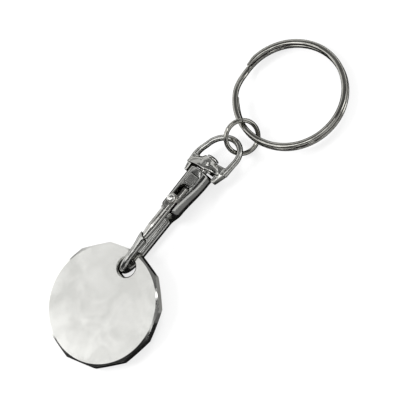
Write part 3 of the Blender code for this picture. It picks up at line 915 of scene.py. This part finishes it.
def makeRivet(shape):
    base, radius, rise = shape["headBase"], shape["headRadius"], shape["headHeight"]
    shank, start, bevel, rim = shape["radius"], shape["start"], shape["endBevel"], shape["rimShare"]
    profile = [(0, base + rise)]
    for k in range(1, 11):
        turn = pi / 2 * k / 10
        profile.append((radius * sin(turn), base + rise * (rim + (1 - rim) * cos(turn))))
    profile += [(radius, base + rise * shape["edgeShare"]), (radius * shape["underShare"], base),
                (shank, base), (shank, start + bevel), (shank - bevel, start), (0, start)]
    rivet = spinProfile("swivelRivet", profile, shape["steps"], axis=(1, 0, 0))
    smoothShade(rivet, shape["smoothAngle"])
    return settle(rivet, clipPlace)


rivet = makeRivet(rivetShape)
finish(rivet, "clip", "swivel_rivet", makeMetal("litRivetNickel", rivetLook))


# Swivel eye: a bent loop grown into a slanted base with a bored boss

eyeShape = {
    "sides": 40,
    "baseStart": 0.3,
    "baseYaw": radians(10),
    "baseDepth": 1.6,
    "baseReach": 2.3,
    "baseEnds": (-4.15, 3.7),
    "footInside": 2.72,
    "footTips": {1: (-2.0, 3.3), -1: (-0.75, 3.5)},
    "footEnds": {1: 3.95, -1: 4.25},
    "footRoot": 0.9,
    "footInset": 0.05,
    "footTaper": 0.8,
    "legFeet": {1: 3.3, -1: 3.75},
    "legBulge": {1: 0.35, -1: 0.05},
    "baseHalfHeight": 0.95,
    "baseRound": 0.45,
    "saddle": (2.35, 4.1, 2.1),
    "archHalfWidth": 3.55,
    "archStart": 4.4,
    "reach": 8.3,
    "archShift": 1.2,
    "wire": 0.6,
    "footShare": 0.3,
    "bossRadius": 2.1,
    "bossTop": 1.6,
    "bossHeight": 0.8,
    "bossStand": 0.1,
    "bossSink": 0.05,
    "bossSides": 72,
    "hole": 1.0,
    "holeReach": 3,
    "holeSides": 64,
    "grain": 0.075,
    "smoothing": 14,
    "smoothAngle": 50,
}

eyeLook = dict(
    polishedLook,
    paleTone=(0.52, 0.52, 0.495),
    darkTone=(0.4, 0.4, 0.38),
    roughness=(0.16, 0.24),
)


def eyeStations(shape):
    legStart = shape["baseStart"] + shape["baseDepth"] / 2
    slant = shape["archShift"] / (shape["reach"] - legStart)
    path = []
    for side in (1, -1):
        start = shape["legFeet"][side]
        foot = legStart - side * start * tan(shape["baseYaw"])
        leg = []
        for k in range(10):
            share = k / 10
            leg.append((foot + (shape["archStart"] - foot) * share,
                        side * (start + (shape["archHalfWidth"] - start) * share
                                + shape["legBulge"][side] * sin(pi * share)),
                        1 + shape["footShare"] * (1 - share) ** 2))
        path.append(leg)
    arch = []
    for k in range(49):
        turn = pi * k / 48
        arch.append((shape["archStart"] + (shape["reach"] - shape["archStart"]) * sin(turn),
                     shape["archHalfWidth"] * cos(turn), 1))
    route = [(x, y - slant * max(x - legStart, 0), share) for x, y, share in path[0] + arch + path[1][::-1]]
    stations = []
    heading = 0
    for k, (x, y, share) in enumerate(route):
        before, after = route[max(k - 1, 0)], route[min(k + 1, len(route) - 1)]
        aim = atan2(after[1] - before[1], after[0] - before[0])
        while aim - heading > pi:
            aim -= 2 * pi
        while aim - heading < -pi:
            aim += 2 * pi
        heading = aim
        size = shape["wire"] * share
        stations.append({"at": Vector((x, y, 0)), "yaw": aim, "wide": size, "high": size})
    return stations


def makeFoot(shape, side, tipX, tipY, half):
    # A block from the base back along the collar, drawn in towards its tip
    inside = shape["footInside"]
    root = shape["baseStart"] + shape["footRoot"] - side * inside * tan(shape["baseYaw"])
    high = shape["baseHalfHeight"] - shape["footInset"]
    foot = addBlock("eyeFoot", (tipX, min(side * inside, side * half), -high),
                    (root, max(side * inside, side * half), high))
    editFaces(foot, lambda face: face.normal.x < -0.9)
    bpy.ops.transform.resize(value=(1, (tipY - inside) / (half - inside), shape["footTaper"]),
                             orient_type="GLOBAL",
                             center_override=Vector((tipX, side * inside, 0)) * mm)
    leaveEdit(normals=True)
    return foot


def makeEye(shape):
    eye = extrudeAlong("swivelEye", eyeStations(shape), shape["sides"])
    right, left = shape["baseEnds"]
    base = addBlock("eyeBase", (shape["baseStart"], right, -shape["baseHalfHeight"]),
                    (shape["baseReach"], left, shape["baseHalfHeight"]))
    softenEdges(base, shape["baseRound"] * mm, squareAngle, segments=5)
    dome = [(0, 0)] + [(cos(pi / 2 * k / 16), sin(pi / 2 * k / 16)) for k in range(16)] + [(0, 1)]
    saddle = spinProfile("eyeSaddle", dome, shape["bossSides"], axis=(1, 0, 0))
    # The half ball has a radius of 1, and this gives it its size
    saddle.scale = shape["saddle"]
    saddle.location = (shape["baseStart"] * mm, 0, 0)
    settle(saddle)
    pick(base, saddle)
    bpy.ops.object.join()
    base.rotation_euler = (0, 0, shape["baseYaw"])
    settle(base)
    feet = [makeFoot(shape, side, tipX, tipY, shape["footEnds"][side])
            for side, (tipX, tipY) in shape["footTips"].items()]
    start, end = shape["baseStart"], shape["baseStart"] + shape["baseDepth"]
    radius, sides = shape["bossRadius"], shape["bossSides"]
    boss = addRod("eyeBoss", (start - shape["bossStand"], 0, 0), (end, 0, 0), radius, sides=sides)
    bossTop = addRod("bossTop", (end - shape["bossSink"], 0, 0), (end + shape["bossHeight"], 0, 0),
                     radius, shape["bossTop"], sides=sides)
    pick(eye, base, boss, bossTop, *feet)
    bpy.ops.object.join()
    applyModifier(eye, "REMESH", mode="VOXEL", voxel_size=shape["grain"] * mm)
    applyModifier(eye, "SMOOTH", factor=0.5, iterations=shape["smoothing"])
    hole = addRod("eyeHole", (-overrun, 0, 0), (end + shape["holeReach"], 0, 0), shape["hole"],
                  sides=shape["holeSides"])
    combine(eye, "DIFFERENCE", hole)
    smoothShade(eye, shape["smoothAngle"])
    return settle(eye, Matrix.Translation(places["clip"]))


eye = makeEye(eyeShape)
finish(eye, "eye", "swivel_eye", makeMetal("greyEyeNickel", eyeLook))


# Jump ring, one round turn of wire with a sawn joint

jumpShape = {
    "radius": 3.25,
    "wire": 0.45,
    "wireSides": 36,
    "steps": 180,
    "soften": 0.05,
    "gap": 0.12,
    "cutAngle": radians(40),
    "smoothAngle": 50,
    "middle": Vector((15.186, 0.127, 2.846)) * mm,
}

jumpLook = dict(polishedLook, paleTone=(0.42, 0.415, 0.385), darkTone=(0.3, 0.295, 0.265))


def makeJumpRing(shape):
    clearSelection()
    half = asin(shape["gap"] / 2 / shape["radius"])
    bpy.ops.mesh.primitive_circle_add(vertices=shape["wireSides"], radius=shape["wire"] * mm,
                                      fill_type="NGON", location=(shape["radius"] * mm, 0, 0),
                                      rotation=(radians(90), 0, 0))
    ring = settle(startPiece("jumpRing"))
    editAll(ring)
    bpy.ops.mesh.spin(steps=shape["steps"], angle=2 * pi - 2 * half, center=(0, 0, 0), axis=(0, 0, 1))
    leaveEdit(normals=True)
    softenEdges(ring, shape["soften"] * mm, squareAngle)
    smoothShade(ring, shape["smoothAngle"])
    roll = Matrix.Rotation(places["jumpRoll"], 4, "X")
    cutTurn = Matrix.Rotation(shape["cutAngle"] + half, 4, "Z")
    return settle(ring, Matrix.Translation(shape["middle"]) @ roll @ cutTurn)


jumpRing = makeJumpRing(jumpShape)
finish(jumpRing, "link", "jump_ring", makeMetal("brightJumpNickel", jumpLook))


# Key ring: two flat turns of rounded wire with a step from one to the other

keyShape = {
    "sides": 36,
    "radius": 10.78,
    "halfWidth": 0.74,
    "farExtra": 0.1,
    "halfThickness": 0.46,
    "layerGap": 0.3,
    "rampAngle": radians(110),
    "rampHalfTurn": radians(17),
    "stepsPerTurn": 96,
    "groundSteps": 3,
    "groundWide": 0.5,
    "groundHigh": 0.45,
    "soften": 0.12,
    "smoothAngle": 50,
    "middle": Vector((27.276, -1.723, 1.905)) * mm,
}

keyLook = dict(
    polishedLook,
    paleTone=(0.44, 0.435, 0.405),
    darkTone=(0.31, 0.305, 0.28),
    scratchStretch=(3, 3, 0.4),
)


def keyStations(shape):
    layer = 2 * shape["halfThickness"] + shape["layerGap"]
    radius, ramp = shape["radius"], shape["rampHalfTurn"]
    groundWide, groundHigh = shape["groundWide"], shape["groundHigh"]
    start, end = ramp, 4 * pi - ramp
    count = round((end - start) / (2 * pi) * shape["stepsPerTurn"]) + 1
    stations = []
    for k in range(count):
        turn = start + (end - start) * k / (count - 1)
        share = min(max((turn - (2 * pi - ramp)) / (2 * ramp), 0), 1)
        angle = turn + shape["rampAngle"]
        ground = ease(min(min(k, count - 1 - k) / shape["groundSteps"], 1))    # both ends are ground thin
        wide = shape["halfWidth"] + shape["farExtra"] * (1 + cos(angle)) / 2
        height = layer * (ease(share) - 0.5)
        stations.append({"at": Vector((radius * cos(angle), radius * sin(angle), height)),
                         "yaw": angle + pi / 2,
                         "wide": wide * (groundWide + (1 - groundWide) * ground),
                         "high": shape["halfThickness"] * (groundHigh + (1 - groundHigh) * ground)})
    return stations


def makeKeyRing(shape):
    ring = extrudeAlong("splitRing", keyStations(shape), shape["sides"])
    softenEdges(ring, shape["soften"] * mm, squareAngle, segments=3)
    smoothShade(ring, shape["smoothAngle"])
    return settle(ring, Matrix.Translation(shape["middle"]) @ Matrix.Rotation(places["keyTilt"], 4, "Y"))


keyRing = makeKeyRing(keyShape)
finish(keyRing, "key_ring", "split_ring", makeMetal("greyKeyRingNickel", keyLook))


# Studio: a plain pale floor, soft lamps, and dark boards and bright strips that only reflections see

studio = {
    "floorSize": 3,
    "floorTone": (0.93, 0.93, 0.93),
    "skyTone": (1, 1, 1),
    "skyLight": 0.75,
    "shadowShare": 0.25,
    "mirroredShadow": 0.6,
    "lamps": {
        "keyLamp": ((-0.35, 0.45, 0.55), (0.35, 0.35), 6),
        "fillLamp": ((0.5, 0.15, 0.5), (0.3, 0.3), 2.5),
    },
    # Place, size, turn in degrees, brightness
    "boards": {
        "topBoard": ((0.005, 0.05, 0.36), (0.13, 0.6), (0, 0, 0), 0.2),
        "spineStrip": ((-0.044, -0.015, 0.359), (0.036, 0.33), (0, 0, 0), 3.5),
        "topRightBoard": ((0.235, -0.135, 0.36), (0.33, 0.23), (0, 0, 0), 0.03),
        "topRightBackBoard": ((0.235, 0.165, 0.36), (0.33, 0.37), (0, 0, 0), 0.2),
        "knobStrip": ((0.07, -0.025, 0.35), (0.04, 0.035), (0, 0, 0), 3),
        "noseStrip": ((-0.18, -0.02, 0.36), (0.24, 0.1), (0, 0, 0), 2.5),
        "leftFrontTopBoard": ((-0.175, -0.21, 0.36), (0.31, 0.28), (0, 0, 0), 0.03),
        "topLeftBoard": ((-0.25, 0.2, 0.36), (0.15, 0.3), (0, 0, 0), 2),
        "frontBoard": ((0, -0.42, 0.235), (0.8, 0.25), (90, 0, 0), 0.06),
        "rightBoard": ((0.45, 0.1, 0.29), (0.6, 0.18), (90, 0, 90), 0.15),
        "rightStrip": ((0.45, 0.1, 0.14), (0.6, 0.12), (90, 0, 90), 1.5),
        "rightLowBoard": ((0.45, 0.1, 0.04), (0.6, 0.08), (90, 0, 90), 0.1),
        "cornerStrip": ((0.33, -0.33, 0.17), (0.1, 0.3), (90, 0, 45), 3),
        "leftBoard": ((-0.45, -0.25, 0.16), (0.3, 0.28), (90, 0, 90), 0.1),
        "leftTopBoard": ((-0.46, -0.12, 0.36), (0.27, 0.44), (0, 0, 0), 0.03),
        "leftBackBoard": ((-0.45, 0.13, 0.2), (0.46, 0.4), (90, 0, 90), 0.04),
        "frontStrip": ((0, -0.42, 0.055), (0.8, 0.11), (90, 0, 0), 1.5),
        # Dark sheets on the floor in front of and under the pieces, seen only in reflections: painted shade
        # on the mirrored floor
        "floorShadeBoard": ((0.02, -0.023, 0.00002), (0.08, 0.054), (0, 0, 0), 0.4),
        "tokenFloorShadeBoard": ((-0.04, -0.023, 0.00002), (0.04, 0.054), (0, 0, 0), 0.15),
        # Darker sheets right at the pieces' contact with the floor, seen only in reflections: painted
        # contact shadow
        "contactShadowBoard": ((0.0085, 0.0065, 0.00003), (0.067, 0.019), (0, 0, 0), 0.02),
        "tokenContactShadowBoard": ((-0.0335, -0.0085, 0.00003), (0.023, 0.015), (0, 0, 0), 0.02),
        "ringContactShadowBoard": ((0.028, -0.0095, 0.00003), (0.028, 0.013), (0, 0, 0), 0.04),
        "ceilingStrip": ((0.03, -0.06, 0.33), (0.2, 0.05), (0, 0, 0), 3),
        "backStrip": ((-0.32, 0.5, 0.07), (0.52, 0.14), (90, 0, 0), 2),
        "backBoard": ((0.16, 0.5, 0.07), (0.44, 0.14), (90, 0, 0), 0.4),
    },
}


def whiteBackdrop(nodes, links, soft, plain, shadowShare, mirroredShadow):
    # Camera, glossy and transmitted rays see plain white, mixed with the given share of the soft shader
    path = nodes.new("ShaderNodeLightPath")
    seen = None
    for ray, share in (("Is Camera Ray", shadowShare), ("Is Glossy Ray", mirroredShadow),
                       ("Is Transmission Ray", mirroredShadow)):
        part = nodes.new("ShaderNodeMath")
        part.operation = "MULTIPLY"
        part.inputs[1].default_value = 1 - share
        links.new(path.outputs[ray], part.inputs[0])
        if seen is None:
            seen = part.outputs["Value"]
            continue
        either = nodes.new("ShaderNodeMath")
        either.operation = "MAXIMUM"
        links.new(seen, either.inputs[0])
        links.new(part.outputs["Value"], either.inputs[1])
        seen = either.outputs["Value"]
    mix = nodes.new("ShaderNodeMixShader")
    links.new(seen, mix.inputs["Fac"])
    links.new(soft, mix.inputs[1])
    links.new(plain, mix.inputs[2])
    return mix.outputs["Shader"]


def makeStudio(look):
    world = bpy.data.worlds.new("studioSky")
    scene.world = world
    world.use_nodes = True
    nodes, links = world.node_tree.nodes, world.node_tree.links
    soft = nodes["Background"]
    soft.inputs["Color"].default_value = (*look["skyTone"], 1)
    soft.inputs["Strength"].default_value = look["skyLight"]
    plain = nodes.new("ShaderNodeBackground")
    plain.inputs["Color"].default_value = (1, 1, 1, 1)
    plain.inputs["Strength"].default_value = 1
    sky = whiteBackdrop(nodes, links, soft.outputs["Background"], plain.outputs["Background"], 0, 0)
    links.new(sky, nodes["World Output"].inputs["Surface"])

    clearSelection()
    bpy.ops.mesh.primitive_plane_add(size=look["floorSize"], location=(0, 0, 0))
    floor = startPiece("studioFloor")
    material = bpy.data.materials.new("paleFloor")
    material.use_nodes = True
    nodes, links = material.node_tree.nodes, material.node_tree.links
    nodes.remove(nodes["Principled BSDF"])
    matte = nodes.new("ShaderNodeBsdfDiffuse")
    matte.inputs["Color"].default_value = (*look["floorTone"], 1)
    glow = nodes.new("ShaderNodeEmission")
    glow.inputs["Color"].default_value = (1, 1, 1, 1)
    surface = whiteBackdrop(nodes, links, matte.outputs["BSDF"], glow.outputs["Emission"],
                            look["shadowShare"], look["mirroredShadow"])
    links.new(surface, nodes["Material Output"].inputs["Surface"])
    floor.data.materials.append(material)
    floor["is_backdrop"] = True


def makeLamp(name, place, size, power):
    data = bpy.data.lights.new(name, "AREA")
    data.shape = "RECTANGLE"
    data.size, data.size_y = size
    data.energy = power
    lamp = bpy.data.objects.new(name, data)
    scene.collection.objects.link(lamp)
    lamp.location = place
    lamp.rotation_euler = Vector(place).to_track_quat("Z", "Y").to_euler()
    lamp.visible_glossy = False


def makeBoard(name, place, size, turn, tone):
    clearSelection()
    bpy.ops.mesh.primitive_plane_add(size=1, location=place, rotation=[radians(angle) for angle in turn])
    board = startPiece(name)
    board.scale = (size[0], size[1], 1)
    settle(board)
    material = bpy.data.materials.new(name)
    material.use_nodes = True
    nodes, links = material.node_tree.nodes, material.node_tree.links
    nodes.remove(nodes["Principled BSDF"])
    glow = nodes.new("ShaderNodeEmission")
    glow.inputs["Color"].default_value = (tone, tone, tone, 1)
    links.new(glow.outputs["Emission"], nodes["Material Output"].inputs["Surface"])
    board.data.materials.append(material)
    board.visible_camera = False
    board.visible_diffuse = False
    board.visible_shadow = False
    board.visible_transmission = False
    board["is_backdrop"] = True


makeStudio(studio)
for lampName, lampLook in studio["lamps"].items():
    makeLamp(lampName, *lampLook)
for boardName, boardLook in studio["boards"].items():
    makeBoard(boardName, *boardLook)
print("studio done")

for frameBox in (cadBox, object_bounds()):
    print("box:", [[round(value / mm, 2) for value in corner] for corner in frameBox])
scene.view_settings.view_transform = "Standard"
